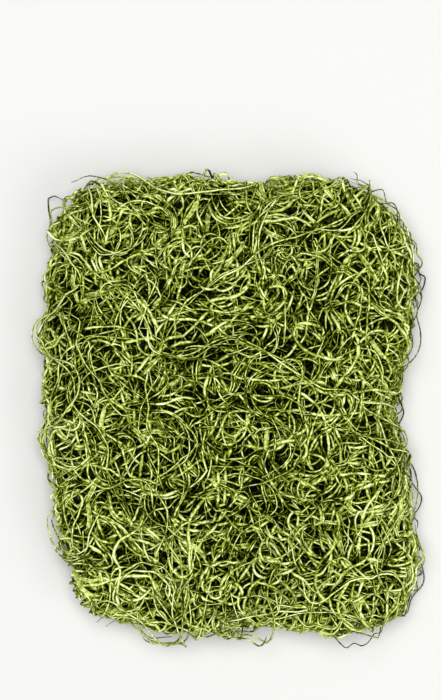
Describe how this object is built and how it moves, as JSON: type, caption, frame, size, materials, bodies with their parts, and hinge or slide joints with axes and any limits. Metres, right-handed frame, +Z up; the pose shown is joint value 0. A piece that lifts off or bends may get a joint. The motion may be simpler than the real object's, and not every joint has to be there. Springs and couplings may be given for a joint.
{
  "type": "spanish moss bunch",
  "caption": "Pillow-shaped bunch of preserved Spanish moss: a springy tangle of curly yellow-green stems, pressed together and lying on its back.",
  "frame": {"origin": "middle of the small flat spot that the bunch rests on", "axes": "+Y along the bunch, towards its upper end; +X across it; +Z up, out of its face"},
  "size_m": [0.1891, 0.238, 0.0584],
  "materials": {
    "moss": "matt, fibrous, yellow-green in full light and near black deep in the tangle",
    "moss_pale": "satin, fibrous, pale yellow-green"
  },
  "bodies": {
    "root": {"moss_tangle": "moss", "long_stem_01": "moss_pale", "long_stem_02": "moss_pale", "long_stem_03": "moss_pale", "long_stem_04": "moss_pale", "long_stem_05": "moss_pale", "long_stem_06": "moss_pale", "long_stem_07": "moss_pale", "long_stem_08": "moss_pale", "long_stem_09": "moss_pale", "long_stem_10": "moss_pale", "long_stem_11": "moss_pale", "long_stem_12": "moss_pale", "long_stem_13": "moss_pale", "long_stem_14": "moss_pale", "long_stem_15": "moss_pale", "long_stem_16": "moss_pale", "long_stem_17": "moss_pale", "long_stem_18": "moss_pale", "long_stem_19": "moss_pale", "long_stem_20": "moss_pale", "long_stem_21": "moss_pale", "long_stem_22": "moss_pale", "long_stem_23": "moss_pale", "long_stem_24": "moss_pale", "long_stem_25": "moss_pale", "long_stem_26": "moss_pale", "long_stem_27": "moss_pale", "long_stem_28": "moss_pale", "long_stem_29": "moss_pale", "long_stem_30": "moss_pale", "long_stem_31": "moss_pale", "long_stem_32": "moss_pale", "long_stem_33": "moss_pale", "long_stem_34": "moss_pale", "long_stem_35": "moss_pale", "long_stem_36": "moss_pale", "long_stem_37": "moss_pale", "long_stem_38": "moss_pale", "long_stem_39": "moss_pale", "long_stem_40": "moss_pale", "long_stem_41": "moss_pale", "long_stem_42": "moss_pale", "long_stem_43": "moss_pale", "long_stem_44": "moss_pale"}
  },
  "joints": []
}
